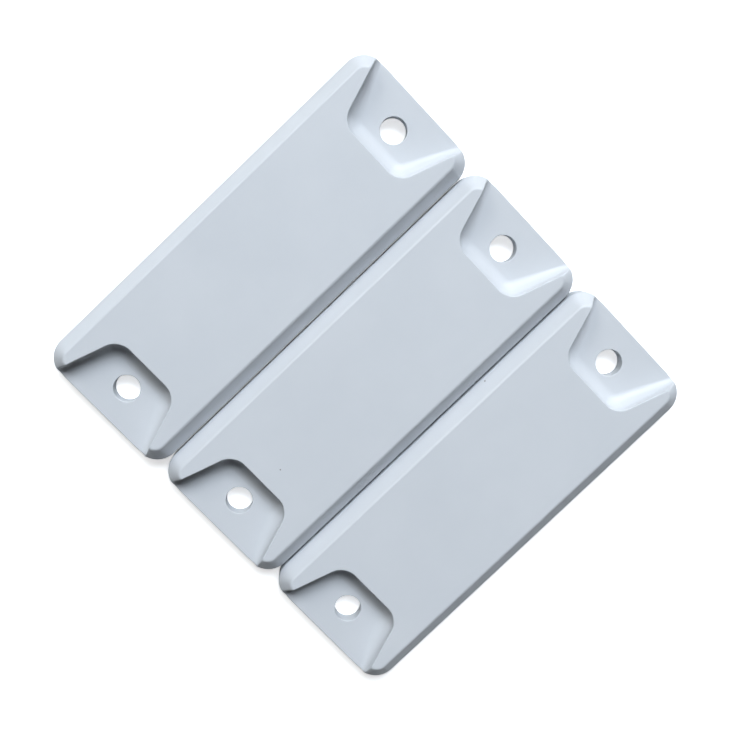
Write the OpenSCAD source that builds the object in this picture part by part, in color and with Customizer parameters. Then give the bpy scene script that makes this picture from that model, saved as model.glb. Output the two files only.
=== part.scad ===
// Row of flat hard asset tags for mounting on metal, each a sealed moulded housing with an antenna inside.
// X runs along the tags, Y across them and Z up. The origin is under the middle of the row, on the surface
// that the tags lie on. All sizes are in millimetres.

/* [Row of tags] */
// Number of tags that lie side by side
tag_count = 3; // [1:1:5]
// Gap between neighbouring tags
tag_gap = 0.3; // [0.2:0.1:10]

/* [Housing] */
// Length of a tag
tag_l = 85; // [70:1:120]
// Width of a tag
tag_w = 30.5; // [26:0.5:45]
// Height of a tag
tag_h = 7.3; // [6.2:0.1:10]
// Radius of the four upright corners
corner_r = 4.6; // [2.8:0.1:5.5]
// How far the bevel round the top steps in
bevel_w = 2.5; // [1:0.1:2.7]
// How far the bevel reaches down from the top face
bevel_h = 3.2; // [1:0.1:3.8]
// Thickness of the roof over the antenna
roof_t = 1.6; // [1:0.1:2]
// Thickness of the long side walls at the base
side_wall = 2.6; // [2.2:0.1:4]
// Thickness of the wall between each recess and the antenna's cavity, at the top face
end_wall = 1.8; // [1.2:0.1:4]
// Radius of the cavity's corners
cavity_r = 2; // [1:0.1:3]

/* [Screw recesses] */
// Depth of a recess below the top face
recess_depth = 3.7; // [3.2:0.1:4.2]
// Length of a recess, in from the end of the tag
recess_l = 13.3; // [12:0.1:18]
// Width of the shoulder left on each side of a recess at the end of the tag
shoulder_w = 3.35; // [2.8:0.05:5]
// Angle at which a recess's sides close in
recess_taper = 18.3; // [5:0.1:22]
// Radius of a recess's two inner corners
recess_corner_r = 3.8; // [3.2:0.1:5]
// Radius of the cove between a recess's wall and its floor
cove_r = 3; // [1:0.1:3]
// Diameter of a screw hole
screw_d = 5.2; // [3:0.1:6]
// Flat floor between a screw hole and the foot of the cove
screw_land = 0.7; // [0.2:0.1:2]

/* [Base cover] */
// Thickness of the cover
cover_t = 1.4; // [0.8:0.1:2]
// How far the cover sits above the surface that the tag lies on
cover_lift = 0.1; // [0:0.1:0.4]
// Width of the ledge that the cover is welded to
ledge_w = 1.2; // [0.8:0.1:1.4]
// Clearance round the cover and its lip
cover_gap = 0.15; // [0.05:0.05:0.3]
// Height of the cover's locating lip
lip_h = 0.6; // [0.3:0.1:1]
// Thickness of the locating lip
lip_t = 0.6; // [0.4:0.1:1]

/* [Antenna] */
// Clearance between the board's edge and the locating lip
board_gap = 0.4; // [0.2:0.1:1]
// Thickness of the copper on both sides
foil_t = 0.1; // [0.05:0.01:0.2]
// Thickness of the film that holds the antenna to the cover
tape_t = 0.3; // [0.1:0.1:0.5]
// Margin of bare board round the copper
foil_margin = 0.8; // [0.4:0.1:2]
// Width of the slot between the patch's halves
slot_w = 1; // [0.6:0.1:2]
// Number of shorting posts at each end
post_count = 5; // [2:1:7]
// Diameter of a shorting post
post_d = 0.8; // [0.4:0.1:1]
// Clearance between a post and its hole in the board
post_gap = 0.05; // [0.02:0.01:0.1]
// Distance from the copper's end to the row of posts
post_inset = 1.2; // [0.8:0.1:3]

/* [Chip] */
// Length of the chip, across the slot
chip_l = 2; // [1.6:0.1:3]
// Width of the chip
chip_w = 1.4; // [0.8:0.1:2]
// Height of the chip
chip_h = 0.6; // [0.3:0.1:0.8]
// Clearance between the chip and the roof
headroom = 0.7; // [0.3:0.1:1.2]
// Length of a solder joint
solder_l = 0.7; // [0.4:0.1:1]
// Height of a solder joint
solder_h = 0.35; // [0.2:0.05:0.5]
// Clearance round the chip in the foam pad's window
window_gap = 1; // [0.3:0.1:3]

/* [Hidden] */
PIECES = ["top_shell", "base_cover", "bonding_tape", "ground_plane", "antenna_board", "radiating_patch",
    "shorting_posts", "rfid_chip", "solder_joints", "foam_pad"];

$fn = 64;
past = 1; // how far a cut runs past the surface that it opens

pitch = tag_w + tag_gap;
floor_z = tag_h - recess_depth;
screw_inset = recess_l - cove_r - screw_land - screw_d / 2;

// Cavity, rebate and cover
cavity_l = tag_l - 2 * (recess_l + end_wall);
cavity_w = tag_w - 2 * side_wall;
roof_z = tag_h - roof_t;
ledge_z = cover_lift + cover_t;
rebate_l = cavity_l + 2 * ledge_w;
rebate_w = cavity_w + 2 * ledge_w;
rebate_r = cavity_r + ledge_w;
lip_l = cavity_l - 2 * cover_gap;
lip_w = cavity_w - 2 * cover_gap;
lip_r = cavity_r - cover_gap;

// Antenna, from the cover up, with a board as thick as the room under the chip allows
board_t = roof_z - ledge_z - tape_t - 2 * foil_t - chip_h - headroom;
board_l = lip_l - 2 * (lip_t + board_gap);
board_w = lip_w - 2 * (lip_t + board_gap);
foil_l = board_l - 2 * foil_margin;
foil_w = board_w - 2 * foil_margin;
ground_z = ledge_z + tape_t;
board_z = ground_z + foil_t;
patch_z = board_z + board_t;
chip_z = patch_z + foil_t;
half_l = (foil_l - slot_w) / 2;
post_x = foil_l / 2 - post_inset;
post_span = foil_w - 2 * post_inset;

// Plan of a recess: where its sides meet the tag's end, and the centres of its inner corners
corner_x = recess_l - recess_corner_r;
mouth_y = tag_w / 2 - shoulder_w;
corner_y = mouth_y - corner_x * tan(recess_taper) - recess_corner_r / cos(recess_taper);
side_run = (corner_x + past) / cos(recess_taper) + recess_corner_r;

shell_colour = [0.80, 0.83, 0.87];
tape_colour = [0.90, 0.88, 0.78];
copper_colour = [0.78, 0.47, 0.30];
board_colour = [0.55, 0.60, 0.30];
chip_colour = [0.08, 0.08, 0.09];
solder_colour = [0.72, 0.73, 0.75];
foam_colour = [0.35, 0.36, 0.38];

function node_name(tag, piece) = str("tag_", tag, "_", piece);
function tag_y(tag) = ((tag_count + 1) / 2 - tag) * pitch;

// Flat plate with round corners, centred on the origin and standing on z = 0
module plate(l, w, r, h) {
    translate([-l / 2 + r, -w / 2, 0]) cube([l - 2 * r, w, h]);
    translate([-l / 2, -w / 2 + r, 0]) cube([l, w - 2 * r, h]);
    for (x = [-1, 1], y = [-1, 1])
        translate([x * (l / 2 - r), y * (w / 2 - r), 0]) cylinder(r = r, h = h);
}

// Section of a bevel, rising from half-width w to half-width w - bevel_w
module bevel_section(w) {
    polygon([[-w, 0], [w, 0], [w - bevel_w, bevel_h], [-w + bevel_w, bevel_h]]);
}

// Solid block of the housing: upright below, bevelled above on all four sides and round the corners
module block() {
    straight_l = tag_l - 2 * corner_r;
    straight_w = tag_w - 2 * corner_r;
    plate(tag_l, tag_w, corner_r, tag_h - bevel_h);
    translate([0, 0, tag_h - bevel_h]) {
        translate([-straight_l / 2, 0, 0]) rotate([90, 0, 90])
            linear_extrude(straight_l) bevel_section(tag_w / 2);
        translate([0, straight_w / 2, 0]) rotate([90, 0, 0])
            linear_extrude(straight_w) bevel_section(tag_l / 2);
        for (x = [-1, 1], y = [-1, 1])
            translate([x * straight_l / 2, y * straight_w / 2, 0])
                cylinder(r1 = corner_r, r2 = corner_r - bevel_w, h = bevel_h);
    }
}

// Section of a recess from the line of its corner centres out to its wall, with the cove at the floor
module recess_section() {
    square([recess_corner_r - cove_r, recess_depth + past]);
    translate([0, cove_r]) square([recess_corner_r, recess_depth + past - cove_r]);
    translate([recess_corner_r - cove_r, cove_r]) intersection() {
        circle(cove_r);
        translate([0, -cove_r]) square(cove_r);
    }
}

// Tool that cuts one recess, with the tag's end at x = 0 and the recess running to negative x
module recess() {
    out_x = past + recess_corner_r;
    out_y = corner_y + (corner_x + out_x) * tan(recess_taper);
    linear_extrude(recess_depth + past)
        polygon([[-corner_x, -corner_y], [-corner_x, corner_y], [out_x, out_y], [out_x, -out_y]]);
    translate([-corner_x, corner_y, 0]) rotate([90, 0, 0]) linear_extrude(2 * corner_y)
        mirror([1, 0]) recess_section();
    for (side = [-1, 1]) {
        translate([-corner_x, side * corner_y, 0]) rotate_extrude() recess_section();
        mirror([0, side < 0 ? 1 : 0, 0]) translate([-corner_x, corner_y, 0])
            rotate([0, 0, recess_taper]) rotate([90, 0, 90]) linear_extrude(side_run) recess_section();
    }
}

// Moulded housing, hollow from below, with a recess and a screw hole at each end
module top_shell() {
    color(shell_colour) difference() {
        block();
        for (end = [0, 1]) mirror([end, 0, 0]) {
            translate([tag_l / 2, 0, floor_z]) recess();
            translate([tag_l / 2 - screw_inset, 0, -past]) cylinder(d = screw_d, h = floor_z + 2 * past);
        }
        plate(cavity_l, cavity_w, cavity_r, roof_z);
        translate([0, 0, -past]) plate(rebate_l, rebate_w, rebate_r, ledge_z + past);
    }
}

// Plate welded to the ledge under the housing, with a low lip that centres it in the cavity
module base_cover() {
    color(shell_colour) {
        translate([0, 0, cover_lift])
            plate(rebate_l - 2 * cover_gap, rebate_w - 2 * cover_gap, rebate_r - cover_gap, cover_t);
        translate([0, 0, ledge_z]) difference() {
            plate(lip_l, lip_w, lip_r, lip_h);
            translate([0, 0, -past])
                plate(lip_l - 2 * lip_t, lip_w - 2 * lip_t, lip_r - lip_t, lip_h + 2 * past);
        }
    }
}

// Rectangular layer of the antenna, centred on the tag
module layer(l, w, z, t) {
    translate([-l / 2, -w / 2, z]) cube([l, w, t]);
}

// Cylinders on the places of the shorting posts, from z up
module post_row(d, z, h) {
    for (x = [-post_x, post_x], n = [0:post_count - 1])
        translate([x, -post_span / 2 + n * post_span / (post_count - 1), z]) cylinder(d = d, h = h);
}

// Double-sided film between the cover and the ground plane
module bonding_tape() {
    color(tape_colour) layer(foil_l, foil_w, ledge_z, tape_t);
}

// Copper under the board
module ground_plane() {
    color(copper_colour) layer(foil_l, foil_w, ground_z, foil_t);
}

// Glass-epoxy board, drilled for the shorting posts
module antenna_board() {
    color(board_colour) difference() {
        layer(board_l, board_w, board_z, board_t);
        post_row(post_d + 2 * post_gap, board_z - past, board_t + 2 * past);
    }
}

// Two copper halves on the board, with the slot that the chip bridges between them
module radiating_patch() {
    color(copper_colour) for (side = [0, 1]) mirror([side, 0, 0])
        translate([slot_w / 2, -foil_w / 2, patch_z]) cube([half_l, foil_w, foil_t]);
}

// Plated posts that join the patch to the ground plane
module shorting_posts() {
    color(copper_colour) post_row(post_d, board_z, board_t);
}

// Chip package lying across the slot
module rfid_chip() {
    color(chip_colour) layer(chip_l, chip_w, chip_z, chip_h);
}

// Wedge-shaped joints that rise from the patch to the chip's two ends
module solder_joints() {
    color(solder_colour) for (side = [0, 1]) mirror([side, 0, 0])
        translate([chip_l / 2, chip_w / 2, chip_z]) rotate([90, 0, 0])
            linear_extrude(chip_w) polygon([[0, 0], [solder_l, 0], [0, solder_h]]);
}

// Soft pad between the patch and the roof, with a window for the chip
module foam_pad() {
    window_l = chip_l + 2 * (solder_l + window_gap);
    window_w = chip_w + 2 * window_gap;
    color(foam_colour) difference() {
        layer(foil_l, foil_w, chip_z, roof_z - chip_z);
        layer(window_l, window_w, chip_z - past, roof_z - chip_z + 2 * past);
    }
}

for (tag = [1:tag_count]) translate([0, tag_y(tag), 0]) {
    top_shell();
    base_cover();
    bonding_tape();
    ground_plane();
    antenna_board();
    radiating_patch();
    shorting_posts();
    rfid_chip();
    solder_joints();
    foam_pad();
}
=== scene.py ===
import bpy
import bmesh
import math
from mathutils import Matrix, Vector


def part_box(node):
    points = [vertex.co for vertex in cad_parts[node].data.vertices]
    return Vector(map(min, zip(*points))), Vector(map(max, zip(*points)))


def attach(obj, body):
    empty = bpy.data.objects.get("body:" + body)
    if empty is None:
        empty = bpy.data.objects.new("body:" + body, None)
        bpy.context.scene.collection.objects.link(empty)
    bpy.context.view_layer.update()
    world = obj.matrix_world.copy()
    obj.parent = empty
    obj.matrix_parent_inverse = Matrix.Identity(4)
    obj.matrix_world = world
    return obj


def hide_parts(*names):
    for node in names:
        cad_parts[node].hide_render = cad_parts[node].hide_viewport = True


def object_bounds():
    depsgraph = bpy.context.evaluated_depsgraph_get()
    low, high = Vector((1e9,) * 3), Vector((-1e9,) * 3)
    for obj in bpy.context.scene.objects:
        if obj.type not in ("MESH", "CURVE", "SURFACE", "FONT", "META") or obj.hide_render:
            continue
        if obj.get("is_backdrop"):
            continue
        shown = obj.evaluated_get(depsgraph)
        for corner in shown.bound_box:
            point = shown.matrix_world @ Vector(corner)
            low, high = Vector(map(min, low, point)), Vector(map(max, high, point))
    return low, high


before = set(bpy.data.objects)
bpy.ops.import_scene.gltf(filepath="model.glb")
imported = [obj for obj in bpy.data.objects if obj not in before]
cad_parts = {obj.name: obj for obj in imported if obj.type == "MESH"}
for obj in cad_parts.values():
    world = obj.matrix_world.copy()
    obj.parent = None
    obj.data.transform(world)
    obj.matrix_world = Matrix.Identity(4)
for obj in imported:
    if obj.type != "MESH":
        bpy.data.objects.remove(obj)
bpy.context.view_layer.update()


# ---- Housings ------------------------------------------------------------------------------------
# Each tag's housing is one injection moulding in pale ABS, hollow from below. Its long sides and corners
# are bevelled, and cores in the mould leave a scooped recess with a coved wall and a screw hole at each
# end. Tag 2's is modelled in millimetres, brought to metres, and copied for tags 1 and 3.

# Sizes are in millimetres. `hair` is how near two places count as one, and `past` is how far a cutter
# stands out of what it cuts.
MM = 0.001
hair = 0.01
past = 1
low, high = (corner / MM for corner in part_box("tag_2_top_shell"))
housing_l = high.x - low.x
housing_w = high.y - low.y
housing_h = high.z
corner_r = 4.6
bevel_w = 2.5
bevel_h = 3.2
roof_t = 1.6
side_wall = 2.6
end_wall = 1.8
cavity_r = 2
recess_depth = 3.7
recess_l = 13.3
shoulder_w = 3.35
recess_taper = math.radians(18.3)
recess_corner_r = 3.8
cove_r = 3
mouth_cove = 0.35
screw_r = 2.6
screw_land = 0.7
ledge_w = 1.2
ledge_z = 1.5
end_y = 9.55
first_facet = 0.1
edge_soft = 0.35
rim_soft = 0.22
foot_soft = 0.15
rim_merge = 0.1
weld = 0.02
plan_segments = 10
cove_segments = 9
soft_segments = 3
hole_segments = 72


def start_edit(piece):
    """Goes into edit mode on this piece alone, with nothing selected in it."""
    bpy.ops.object.select_all(action="DESELECT")
    bpy.context.view_layer.objects.active = piece
    piece.select_set(True)
    bpy.ops.object.mode_set(mode="EDIT")
    bpy.ops.mesh.select_mode(type="EDGE")
    bpy.ops.mesh.select_all(action="DESELECT")


def pick_edges(piece, wanted):
    """Selects the edges for which wanted(edge) is true."""
    mesh = bmesh.from_edit_mesh(piece.data)
    bpy.ops.mesh.select_all(action="DESELECT")
    for edge in mesh.edges:
        if wanted(edge):
            edge.select_set(True)
    bmesh.update_edit_mesh(piece.data)


def pick_faces(piece, wanted):
    """Selects the faces for which wanted(face) is true."""
    mesh = bmesh.from_edit_mesh(piece.data)
    bpy.ops.mesh.select_all(action="DESELECT")
    for face in mesh.faces:
        if wanted(face):
            face.select_set(True)
    bmesh.update_edit_mesh(piece.data)


def pick_points(piece, wanted):
    """Selects the points for whose place wanted(place) is true."""
    mesh = bmesh.from_edit_mesh(piece.data)
    bpy.ops.mesh.select_all(action="DESELECT")
    for point in mesh.verts:
        point.select_set(wanted(point.co))
    bmesh.update_edit_mesh(piece.data)


def end_edit():
    bpy.ops.object.mode_set(mode="OBJECT")


def add_block(name, corner, size):
    """Adds a plain box from its lowest corner and its size, as the start of a piece or of a cut."""
    bpy.ops.object.select_all(action="DESELECT")
    centre = [corner[k] + size[k] / 2 for k in range(3)]
    bpy.ops.mesh.primitive_cube_add(size=1, location=centre)
    piece = bpy.context.object
    piece.name = name
    piece.scale = size
    bpy.ops.object.transform_apply(location=True, rotation=True, scale=True)
    return piece


def upright(edge):
    """True for an edge that rises almost straight up."""
    a, b = edge.verts[0].co, edge.verts[1].co
    return abs(a.z - b.z) > 0.9 * edge.calc_length() and edge.calc_length() > 0.2


def level(edge, z):
    """True for an edge that lies flat at height z."""
    return all(abs(v.co.z - z) < hair for v in edge.verts)


def on_outline(edge):
    """True where the edge's two faces meet at a clear angle, so it isn't a line inside a flat face."""
    return edge.is_manifold and edge.calc_face_angle() > math.radians(20)


def add_plate(name, length, width, radius, bottom, top, segments=plan_segments):
    """Adds a plate with round upright corners, centred on the tag."""
    piece = add_block(name, (-length / 2, -width / 2, bottom), (length, width, top - bottom))
    start_edit(piece)
    pick_edges(piece, upright)
    bpy.ops.mesh.bevel(offset=radius, segments=segments, affect="EDGES")
    end_edit()
    return piece


def cut(piece, cutter):
    """Takes the cutter's shape out of the piece, and removes the cutter."""
    bpy.context.view_layer.objects.active = piece
    boolean = piece.modifiers.new("cut", "BOOLEAN")
    boolean.operation = "DIFFERENCE"
    boolean.solver = "EXACT"
    boolean.object = cutter
    bpy.ops.object.modifier_apply(modifier=boolean.name)
    bpy.data.objects.remove(cutter)


# The outside: a slab with round corners, a bevel drawn in and up from it, and every edge a little
# rounded. The first facet of each corner is widened to end at end_y, clear of the recess's mouth.
slab_h = housing_h - bevel_h
housing = add_plate("tag_2_housing", housing_l, housing_w, corner_r, 0, slab_h)
start_edit(housing)


def from_end(edge):
    """How far an upright edge stands in from the housing's end."""
    return housing_l / 2 - abs(edge.verts[0].co.x)


pick_edges(housing, lambda edge: upright(edge) and hair < from_end(edge) < first_facet)
bpy.ops.mesh.dissolve_edges()
pick_edges(housing, lambda edge: upright(edge) and from_end(edge) < hair)
bpy.ops.transform.resize(value=(1, end_y / (housing_w / 2 - corner_r), 1), center_override=(0, 0, 0))
pick_faces(housing, lambda face: face.normal.z > 0.9)
bpy.ops.mesh.inset(thickness=bevel_w, depth=bevel_h, use_even_offset=True)
for z, width in ((housing_h, edge_soft), (slab_h, edge_soft), (0, foot_soft)):
    pick_edges(housing, lambda edge: level(edge, z) and on_outline(edge))
    bpy.ops.mesh.bevel(offset=width, segments=soft_segments, affect="EDGES")
end_edit()

# The two recesses: a tapered well, its inner corners rounded in plan and its foot rounded into a cove that
# tightens towards the mouth.
floor_z = housing_h - recess_depth
mouth_y = housing_w / 2 - shoulder_w
back_x = housing_l / 2 - recess_l
far_x = housing_l / 2 + past
far_y = mouth_y + past * math.tan(recess_taper)
back_y = mouth_y - recess_l * math.tan(recess_taper)
turn = math.pi / 2 - recess_taper
cove_reach = 1.01 * cove_r
foot_y = far_y - cove_reach / math.cos(recess_taper)
foot_z = floor_z + cove_reach
for end in (-1, 1):
    well = add_block("well", (back_x, -mouth_y, floor_z), (far_x - back_x, 2 * mouth_y, recess_depth + past))
    start_edit(well)
    for x, y in ((back_x, back_y), (far_x, far_y)):
        pick_faces(well, lambda face: abs(face.calc_center_median().x - x) < hair)
        bpy.ops.transform.resize(value=(1, y / mouth_y, 1), center_override=(x, 0, 0))
    pick_edges(well, lambda edge: upright(edge) and edge.verts[0].co.x < back_x + hair)
    bpy.ops.mesh.bevel(offset=recess_corner_r * math.tan(turn / 2), segments=plan_segments, affect="EDGES")
    pick_edges(well, lambda edge: level(edge, floor_z) and min(v.co.x for v in edge.verts) < housing_l / 2)
    bpy.ops.mesh.bevel(offset=cove_r, segments=cove_segments, affect="EDGES")
    for side in (-1, 1):
        pick_points(well, lambda p: p.x > far_x - hair and side * p.y > foot_y and p.z < foot_z)
        corner = (far_x, side * far_y, floor_z)
        bpy.ops.transform.resize(value=(1, mouth_cove, mouth_cove), center_override=corner)
    bpy.ops.mesh.select_all(action="SELECT")
    if end < 0:
        bpy.ops.transform.rotate(value=math.pi, orient_axis="Z", center_override=(0, 0, 0))
    end_edit()
    cut(housing, well)

# The screw holes, the cavity for the antenna and the rebate for the cover.
screw_x = housing_l / 2 - (recess_l - cove_r - screw_land - screw_r)
for x in (-screw_x, screw_x):
    bpy.ops.object.select_all(action="DESELECT")
    bpy.ops.mesh.primitive_cylinder_add(vertices=hole_segments, radius=screw_r, depth=4 * floor_z,
                                        location=(x, 0, 0))
    drill = bpy.context.object
    bpy.ops.object.transform_apply(location=True, rotation=True, scale=True)
    cut(housing, drill)
cavity_l = housing_l - 2 * (recess_l + end_wall)
cavity_w = housing_w - 2 * side_wall
rebate_l = cavity_l + 2 * ledge_w
rebate_w = cavity_w + 2 * ledge_w
cut(housing, add_plate("cavity", cavity_l, cavity_w, cavity_r, -past, housing_h - roof_t))
cut(housing, add_plate("rebate", rebate_l, rebate_w, cavity_r + ledge_w, -past, ledge_z))


# Moulded edges are never knife sharp: the rims of the recesses and of the screw holes are rounded last.
def is_rim(edge):
    """True on the loop where a recess breaks out of the top, the bevel and the end."""
    a, b = edge.verts[0].co, edge.verts[1].co
    in_recess = min(abs(a.x), abs(b.x)) > back_x - 0.3 and min(a.z, b.z) > floor_z - hair
    return on_outline(edge) and in_recess


def is_hole(edge):
    """True on the round edges of the screw holes."""
    return all(abs(math.hypot(abs(v.co.x) - screw_x, v.co.y) - screw_r) < 0.05 for v in edge.verts)


start_edit(housing)
pick_edges(housing, lambda edge: is_rim(edge) and not is_hole(edge))
bpy.ops.mesh.remove_doubles(threshold=rim_merge)
bpy.ops.mesh.select_all(action="SELECT")
bpy.ops.mesh.remove_doubles(threshold=weld)
pick_edges(housing, lambda edge: is_rim(edge) and not is_hole(edge))
bpy.ops.mesh.bevel(offset=rim_soft, segments=soft_segments, affect="EDGES", loop_slide=False,
                   clamp_overlap=False)
pick_edges(housing, lambda edge: is_hole(edge) and on_outline(edge))
bpy.ops.mesh.bevel(offset=foot_soft, segments=soft_segments, affect="EDGES", clamp_overlap=False)
end_edit()


def finish_piece(piece, name, smooth_angle=35):
    """Brings a piece that was modelled in millimetres to metres, and shades its curves smooth."""
    piece.name = name
    bpy.ops.object.select_all(action="DESELECT")
    bpy.context.view_layer.objects.active = piece
    piece.select_set(True)
    piece.scale = (MM, MM, MM)
    bpy.ops.object.transform_apply(location=True, rotation=True, scale=True)
    bpy.ops.object.shade_smooth_by_angle(angle=math.radians(smooth_angle))
    weighted = piece.modifiers.new("normals", "WEIGHTED_NORMAL")
    weighted.keep_sharp = True
    weighted.weight = 100
    bpy.ops.object.modifier_apply(modifier=weighted.name)


def place_copies(piece, node, material):
    """Puts a copy of tag 2's piece in tags 1 and 3, gives all three their finish and body, and hides the CAD
    node each replaces.
    """
    places = {"tag_2": piece}
    for tag in ("tag_1", "tag_3"):
        bpy.ops.object.select_all(action="DESELECT")
        bpy.context.view_layer.objects.active = piece
        piece.select_set(True)
        bpy.ops.object.duplicate()
        copy = bpy.context.object
        copy.name = piece.name.replace("tag_2", tag)
        copy.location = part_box(tag + "_top_shell")[0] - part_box("tag_2_top_shell")[0]
        bpy.ops.object.transform_apply(location=True, rotation=True, scale=True)
        places[tag] = copy
    for tag, copy in places.items():
        copy.data.materials.clear()
        copy.data.materials.append(material)
        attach(copy, tag)
        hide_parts(tag + "_" + node)
    return list(places.values())


def start_material(name, colour, roughness, metallic=0):
    """Makes a material with these plain values, and a node that gives the place on the object."""
    material = bpy.data.materials.new(name)
    material.use_nodes = True
    shader = material.node_tree.nodes["Principled BSDF"]
    shader.inputs["Base Color"].default_value = (*colour, 1)
    shader.inputs["Roughness"].default_value = roughness
    shader.inputs["Metallic"].default_value = metallic
    place = material.node_tree.nodes.new("ShaderNodeTexCoord").outputs["Object"]
    return material, shader, place


def add_node(material, kind, settings, **sockets):
    """Adds a node. A socket, named or by number as _0, takes another node's output or a plain value."""
    node = material.node_tree.nodes.new(kind)
    for setting, value in settings.items():
        setattr(node, setting, value)
    for socket, value in sockets.items():
        key = int(socket[1:]) if socket[1:].isdigit() else socket.replace("_", " ")
        plug = node.inputs[key]
        if isinstance(value, bpy.types.NodeSocket):
            material.node_tree.links.new(value, plug)
        else:
            plug.default_value = value
    return node


def noise(material, place, grain, detail=2, roughness=0.5):
    """Noise from 0 to 1 whose patches are about `grain` millimetres across."""
    scale = 1 / (grain * MM)
    node = add_node(material, "ShaderNodeTexNoise", {}, Vector=place, Scale=scale, Detail=detail,
                    Roughness=roughness)
    return node.outputs["Fac"]


def spread(material, value, low, high, start=0.3, end=0.7):
    """Turns a texture's middle range, start to end, into low to high."""
    node = add_node(material, "ShaderNodeMapRange", {}, Value=value, From_Min=start, From_Max=end,
                    To_Min=low, To_Max=high)
    return node.outputs["Result"]


def blend_colours(material, share, first, second):
    """Goes from the first colour to the second as share goes from 0 to 1. Either may be a node's output."""
    first, second = (c if isinstance(c, bpy.types.NodeSocket) else (*c, 1) for c in (first, second))
    node = add_node(material, "ShaderNodeMix", {"data_type": "RGBA"}, _0=share, _6=first, _7=second)
    return node.outputs[2]


def add_bump(material, shader, height, depth, strength=1.0, below=None):
    """Adds relief `depth` millimetres deep, on top of the relief below it if there is one."""
    sockets = {"Height": height, "Distance": depth * MM, "Strength": strength}
    if below is not None:
        sockets["Normal"] = below
    node = add_node(material, "ShaderNodeBump", {}, **sockets)
    material.node_tree.links.new(node.outputs["Normal"], shader.inputs["Normal"])
    return node.outputs["Normal"]


def paint(material, shader, **outputs):
    """Joins texture outputs to the shader's sockets."""
    for socket, output in outputs.items():
        material.node_tree.links.new(output, shader.inputs[socket.replace("_", " ")])


# Moulded ABS: an even, slightly bluish white with faint clouds, a fine matt grain and a few dust specks.
abs_white = (0.600, 0.622, 0.652)
abs_shade = (0.575, 0.599, 0.631)
dust_grey = (0.16, 0.15, 0.14)
dust_spacing = 3.1
dust_size = (0.045, 0.065)
dusty_cells = (0.955, 0.96)
plastic, shader, place = start_material("moulded_abs", abs_white, roughness=0.45)
clouds = spread(plastic, noise(plastic, place, grain=14, detail=4), 0, 1)
shell_tone = blend_colours(plastic, clouds, abs_shade, abs_white)
specks = add_node(plastic, "ShaderNodeTexVoronoi", {}, Vector=place, Scale=1 / (dust_spacing * MM),
                  Randomness=1.0)
near = spread(plastic, specks.outputs["Distance"], 1, 0, start=dust_size[0], end=dust_size[1])
pick = add_node(plastic, "ShaderNodeSeparateColor", {}, Color=specks.outputs["Color"]).outputs["Red"]
chosen = spread(plastic, pick, 0, 1, start=dusty_cells[0], end=dusty_cells[1])
dust = add_node(plastic, "ShaderNodeMath", {"operation": "MULTIPLY"}, _0=near, _1=chosen).outputs["Value"]
paint(plastic, shader, Base_Color=blend_colours(plastic, dust, shell_tone, dust_grey),
      Roughness=spread(plastic, noise(plastic, place, grain=1.1, detail=3), 0.40, 0.52))
waves = add_bump(plastic, shader, noise(plastic, place, grain=7), depth=0.02, strength=0.5)
matt = noise(plastic, place, grain=0.16, detail=3)
add_bump(plastic, shader, matt, depth=0.006, strength=0.45, below=waves)

finish_piece(housing, "tag_2_housing")
place_copies(housing, "top_shell", plastic)


# ---- Base covers ---------------------------------------------------------------------------------
# A flat ABS plate closes each housing from below. It sits in the rebate with a small gap round it, and a
# low lip locates it in the cavity, where it is welded.

low, high = (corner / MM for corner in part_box("tag_2_base_cover"))
cover_t = 1.4
lip_t = 0.6
cover_gap = 0.15
cover_soft = 0.2
cover_l = high.x - low.x
cover_w = high.y - low.y
cover = add_plate("cover", cover_l, cover_w, cavity_r + ledge_w - cover_gap, low.z, low.z + cover_t)
start_edit(cover)
for width in (ledge_w, lip_t):
    pick_faces(cover, lambda face: face.normal.z > 0.9 and face.calc_area() > cavity_l * cavity_w / 2)
    bpy.ops.mesh.inset(thickness=width, use_even_offset=True)
lip_x = cover_l / 2 - ledge_w
lip_y = cover_w / 2 - ledge_w


def on_lip(face):
    """True on the narrow band between the two insets."""
    spots = [v.co for v in face.verts]
    inside = all(abs(p.x) < lip_x + hair and abs(p.y) < lip_y + hair for p in spots)
    return face.normal.z > 0.9 and inside and face.calc_area() < cavity_l * cavity_w / 2


pick_faces(cover, on_lip)
bpy.ops.mesh.extrude_region_move(TRANSFORM_OT_translate={"value": (0, 0, high.z - low.z - cover_t)})
for z, width in ((low.z, cover_soft), (high.z, cover_soft / 2)):
    pick_edges(cover, lambda edge: level(edge, z) and on_outline(edge))
    bpy.ops.mesh.bevel(offset=width, segments=soft_segments, affect="EDGES")
end_edit()

# The covers are the same plastic without the housing's polish: greyer, and matt from a spark-eroded mould.
cover_white = (0.56, 0.58, 0.61)
cover_shade = (0.52, 0.545, 0.575)
cover_abs, shader, place = start_material("cover_abs", cover_white, roughness=0.6)
clouds = spread(cover_abs, noise(cover_abs, place, grain=9, detail=4), 0, 1)
paint(cover_abs, shader, Base_Color=blend_colours(cover_abs, clouds, cover_shade, cover_white),
      Roughness=spread(cover_abs, noise(cover_abs, place, grain=0.8), 0.52, 0.68))
sparks = noise(cover_abs, place, grain=0.22, detail=4, roughness=0.65)
add_bump(cover_abs, shader, sparks, depth=0.02, strength=0.6)

finish_piece(cover, "tag_2_cover")
place_copies(cover, "base_cover", cover_abs)


# ---- Bonding tape --------------------------------------------------------------------------------
# A thin double-sided acrylic film holds each antenna on its cover. It is milky and a little uneven, and it
# keeps its CAD shape.

def dress(node, material):
    """Gives a CAD node of all three tags its material."""
    for tag in ("tag_1", "tag_2", "tag_3"):
        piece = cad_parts[tag + "_" + node]
        piece.data.materials.clear()
        piece.data.materials.append(material)


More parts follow.
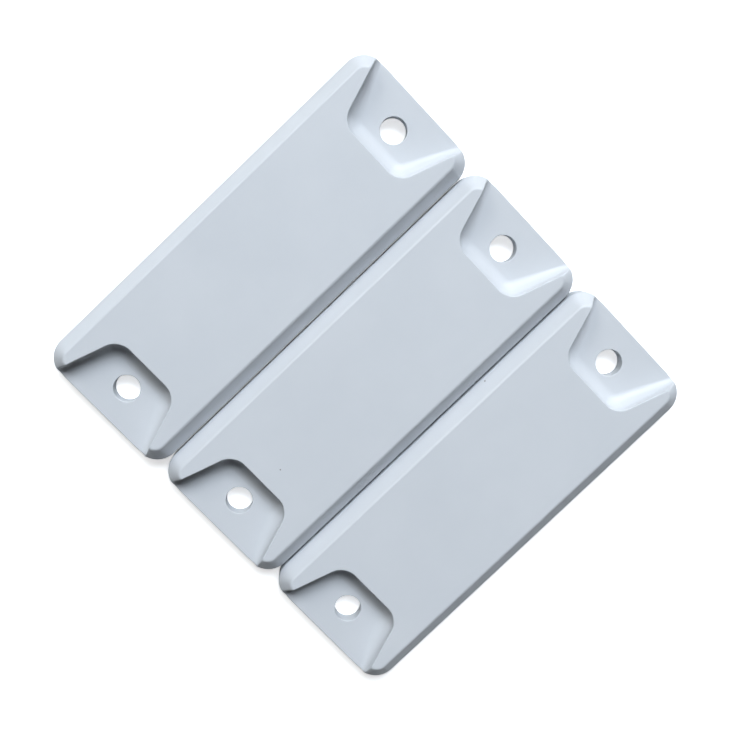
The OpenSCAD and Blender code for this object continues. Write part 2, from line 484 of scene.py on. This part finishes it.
film_white = (0.72, 0.71, 0.66)
film_clear = (0.60, 0.58, 0.50)
film, shader, place = start_material("acrylic_film", film_white, roughness=0.3)
shader.inputs["Coat Weight"].default_value = 0.3
milk = noise(film, place, grain=2.4, detail=5)
paint(film, shader, Base_Color=blend_colours(film, milk, film_clear, film_white),
      Roughness=spread(film, noise(film, place, grain=0.7), 0.2, 0.4))
add_bump(film, shader, noise(film, place, grain=1.5, detail=4), depth=0.03, strength=0.5)
dress("bonding_tape", film)


# ---- Antenna boards ------------------------------------------------------------------------------
# The antenna's core is a rectangle of glass-epoxy laminate. The glass cloth shows through the resin as a
# fine over-and-under weave.

resin = (0.33, 0.36, 0.13)
glass = (0.52, 0.53, 0.27)
yarn = 0.55
laminate, shader, place = start_material("glass_epoxy", resin, roughness=0.35)
bands = []
for way in "XY":
    settings = {"wave_type": "BANDS", "bands_direction": way}
    band = add_node(laminate, "ShaderNodeTexWave", settings, Vector=place, Scale=math.pi / (10 * yarn * MM),
                    Distortion=0.6, Detail=1.0)
    bands.append(band.outputs["Fac"])
crossing = add_node(laminate, "ShaderNodeMath", {"operation": "MULTIPLY"}, _0=bands[0], _1=bands[1])
weave = crossing.outputs["Value"]
cloth = blend_colours(laminate, weave, resin, glass)
stain = spread(laminate, noise(laminate, place, grain=6, detail=4), 0, 0.25)
paint(laminate, shader, Base_Color=blend_colours(laminate, stain, cloth, resin),
      Roughness=spread(laminate, weave, 0.3, 0.45, start=0, end=1))
add_bump(laminate, shader, weave, depth=0.02, strength=0.7)
dress("antenna_board", laminate)


# ---- Copper --------------------------------------------------------------------------------------
# The ground plane, the slotted patch and the shorting posts are one copper circuit on the board, rolled
# foil with plated posts. It is brushed along its length and has begun to tarnish in patches.

bright_copper = (0.83, 0.41, 0.25)
tarnish = (0.38, 0.17, 0.10)
brush_stretch = (0.06, 1, 1)
copper, shader, place = start_material("copper_foil", bright_copper, roughness=0.3, metallic=1)
stretched = add_node(copper, "ShaderNodeMapping", {}, Vector=place, Scale=brush_stretch).outputs["Vector"]
brushing = noise(copper, stretched, grain=0.12, detail=3)
patches = spread(copper, noise(copper, place, grain=4, detail=5, roughness=0.6), 0, 0.7, start=0.5, end=0.75)
paint(copper, shader, Base_Color=blend_colours(copper, patches, bright_copper, tarnish),
      Roughness=spread(copper, brushing, 0.22, 0.42))
add_bump(copper, shader, brushing, depth=0.004, strength=0.5)
for node in ("ground_plane", "radiating_patch", "shorting_posts"):
    dress(node, copper)


# ---- Chips ---------------------------------------------------------------------------------------
# The tag's chip is a small block of black moulding compound across the patch's slot. It is matt, with fine
# specks of its glass filling that are painted lighter into its colour as glints.

compound = (0.012, 0.012, 0.014)
filler_and_glint = (0.07, 0.07, 0.075)
package, shader, place = start_material("moulding_compound", compound, roughness=0.55)
# Lighter specks of the glass filling: partly the filler's own colour, partly painted glints.
filler_specks_and_glints = spread(package, noise(package, place, grain=0.05, detail=2), 0, 1, start=0.55, end=0.75)
paint(package, shader, Base_Color=blend_colours(package, filler_specks_and_glints, compound, filler_and_glint),
      Roughness=spread(package, noise(package, place, grain=0.3), 0.45, 0.65))
add_bump(package, shader, noise(package, place, grain=0.06, detail=3), depth=0.006, strength=0.6)
dress("rfid_chip", package)


# ---- Solder --------------------------------------------------------------------------------------
# A fillet of tin solder joins each end of the chip to the copper. Lead-free solder freezes a little dull
# and wrinkled.

tin = (0.66, 0.66, 0.64)
dull_tin = (0.40, 0.40, 0.41)
solder, shader, place = start_material("tin_solder", tin, roughness=0.3, metallic=1)
frost = noise(solder, place, grain=0.09, detail=4)
paint(solder, shader, Base_Color=blend_colours(solder, frost, dull_tin, tin),
      Roughness=spread(solder, frost, 0.2, 0.45))
add_bump(solder, shader, frost, depth=0.01, strength=0.7)
dress("solder_joints", solder)


# ---- Foam pads -----------------------------------------------------------------------------------
# A die-cut pad of closed-cell polyethylene foam fills the room between the antenna and the roof, and stops
# it rattling. A window clears the chip, and the squeezed edges are rounded.

low, high = (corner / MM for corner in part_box("tag_2_foam_pad"))
chip_low, chip_high = (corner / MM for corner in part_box("tag_2_rfid_chip"))
joint_low, joint_high = (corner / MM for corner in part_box("tag_2_solder_joints"))
window_gap = 1
pad_inset = 0.12
pad_corner_r = 1.5
window_r = 0.6
pad_soft = 0.28
pad_l = high.x - low.x - 2 * pad_inset
pad_w = high.y - low.y - 2 * pad_inset
window_l = joint_high.x - joint_low.x + 2 * (window_gap + pad_inset)
window_w = chip_high.y - chip_low.y + 2 * (window_gap + pad_inset)
pad = add_plate("pad", pad_l, pad_w, pad_corner_r, low.z, high.z, segments=6)
cut(pad, add_plate("window", window_l, window_w, window_r, low.z - past, high.z + past, segments=5))
start_edit(pad)
pick_edges(pad, lambda edge: (level(edge, low.z) or level(edge, high.z)) and on_outline(edge))
bpy.ops.mesh.bevel(offset=pad_soft, segments=4, affect="EDGES")
end_edit()

# The cell pits are painted darker than the foam's white as painted shade; the same relief also drives the
# bump and the roughness.
foam_white = (0.70, 0.70, 0.68)
foam_pit_shade = (0.42, 0.42, 0.41)
foam_cell = 0.45
foam, shader, place = start_material("closed_cell_foam", foam_white, roughness=0.8)
cells = add_node(foam, "ShaderNodeTexVoronoi", {}, Vector=place, Scale=1 / (foam_cell * MM), Randomness=1.0)
relief_and_pit_shade = spread(foam, cells.outputs["Distance"], 0, 1, start=0.1, end=0.6)
paint(foam, shader, Base_Color=blend_colours(foam, relief_and_pit_shade, foam_pit_shade, foam_white),
      Roughness=spread(foam, relief_and_pit_shade, 0.9, 0.7, start=0, end=1))
add_bump(foam, shader, relief_and_pit_shade, depth=0.12, strength=0.8)

finish_piece(pad, "tag_2_pad", smooth_angle=60)
for copy in place_copies(pad, "foam_pad", foam):
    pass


# ---- Floor, light and camera ---------------------------------------------------------------------
# The tags lie on a pale, softly glowing light table inside a pale dome, under three soft boxes that stand
# behind them and to the right. A grey card under the table throws a little light back at their sides.

stage_r = 6
floor_white = (0.95, 0.955, 0.96)
floor_dim = (0.93, 0.935, 0.94)
glow = (0.6, 1.0)
glow_reach = (0.2, 1.2)
card_size = 1
card_drop = 0.1
sky_glow = 0.03

paper, shader, place = start_material("pale_paper", floor_white, roughness=0.8)
mottle = noise(paper, place, grain=90, detail=3)
from_middle = add_node(paper, "ShaderNodeVectorMath", {"operation": "LENGTH"}, _0=place).outputs["Value"]
shader.inputs["Emission Color"].default_value = (1, 1, 1, 1)
paint(paper, shader, Base_Color=blend_colours(paper, mottle, floor_dim, floor_white),
      Emission_Strength=spread(paper, from_middle, glow[0], glow[1], start=glow_reach[0], end=glow_reach[1]))

bpy.ops.object.select_all(action="DESELECT")
bpy.ops.mesh.primitive_circle_add(vertices=96, radius=stage_r, fill_type="NGON", location=(0, 0, 0))
floor = bpy.context.object
floor.name = "studio_floor"
bpy.ops.object.select_all(action="DESELECT")
bpy.ops.mesh.primitive_uv_sphere_add(segments=96, ring_count=48, radius=stage_r, location=(0, 0, 0))
dome = bpy.context.object
dome.name = "studio_dome"
bpy.ops.object.shade_smooth()
for backdrop in (floor, dome):
    backdrop.data.materials.append(paper)
    backdrop.visible_diffuse = False
    backdrop.visible_glossy = False
    backdrop.visible_shadow = False
    backdrop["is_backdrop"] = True

card_grey = (0.60, 0.60, 0.60)
card_paper, shader, place = start_material("grey_card", card_grey, roughness=0.9)
add_bump(card_paper, shader, noise(card_paper, place, grain=1), depth=0.02, strength=0.3)
bpy.ops.object.select_all(action="DESELECT")
bpy.ops.mesh.primitive_plane_add(size=card_size, location=(0, 0, -card_drop * MM))
card = bpy.context.object
card.name = "bounce_card"
card.data.materials.append(card_paper)
card.visible_camera = False
card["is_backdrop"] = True

sky = bpy.data.worlds.new("studio")
sky.use_nodes = True
sky.node_tree.nodes["Background"].inputs["Color"].default_value = (1, 1, 1, 1)
sky.node_tree.nodes["Background"].inputs["Strength"].default_value = sky_glow
bpy.context.scene.world = sky


def add_softbox(name, place, size, power, colour):
    """Adds a square soft box, its size in metres and its power in watts, that faces the tags."""
    bpy.ops.object.light_add(type="AREA", location=place)
    box = bpy.context.object
    box.name = name
    box.data.size = size
    box.data.energy = power
    box.data.color = colour
    away = -box.location
    box.rotation_euler = away.to_track_quat("-Z", "Y").to_euler()
    box.visible_camera = False


add_softbox("key_box", place=(1.29, 0.83, 1.85), size=1.3, power=72, colour=(0.855, 0.923, 1.0))
add_softbox("back_box", place=(0.24, 1.95, 1.38), size=1.0, power=18, colour=(1.0, 1.0, 0.96))
add_softbox("right_box", place=(2.20, 0.30, 0.90), size=1.0, power=5, colour=(1.0, 0.95, 0.85))

# The camera looks almost straight down, tilted about eight degrees, with the tags running corner to corner.
camera_place = (0.01143, 0.02864, 0.21830)
camera_turn = (-0.1229, -0.0489, -0.7617)
bpy.ops.object.camera_add(location=camera_place, rotation=camera_turn)
camera = bpy.context.object
camera.name = "studio_camera"
camera.data.lens = 55.0
camera.data.sensor_width = 36
camera.data.clip_start = 0.005
camera.data.clip_end = 20
bpy.context.scene.camera = camera
bpy.context.scene.view_settings.view_transform = "Standard"

low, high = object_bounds()
